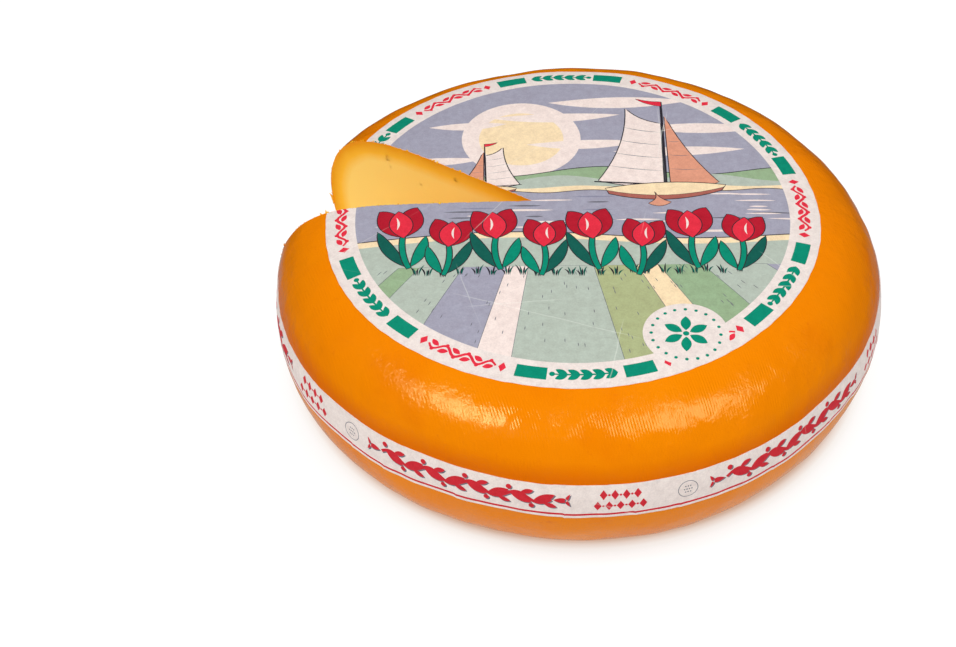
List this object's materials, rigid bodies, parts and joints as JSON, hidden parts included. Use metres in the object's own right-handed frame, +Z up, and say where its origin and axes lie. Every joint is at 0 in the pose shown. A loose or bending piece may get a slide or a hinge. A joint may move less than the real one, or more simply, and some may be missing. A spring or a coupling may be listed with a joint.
{
  "type": "young gouda cheese",
  "caption": "Round flat wheel of coated cheese with rounded sides, a wedge cut out of it, a round paper label on top and a paper band round the side.",
  "frame": {"origin": "on the wheel's upright axis, at the flat face that it rests on", "axes": "+Z up along the wheel's axis; +X to the right and -Y to the front as the picture sees it, so that the missing wedge opens towards -X"},
  "size_m": [0.381, 0.3827, 0.1275],
  "materials": {
    "coat": "satin",
    "paste": "matte",
    "label_paper": "matte",
    "band_paper": "matte"
  },
  "bodies": {
    "root": {"cheese_wheel": "coat", "top_label": "label_paper", "side_band": "band_paper"}
  },
  "joints": []
}
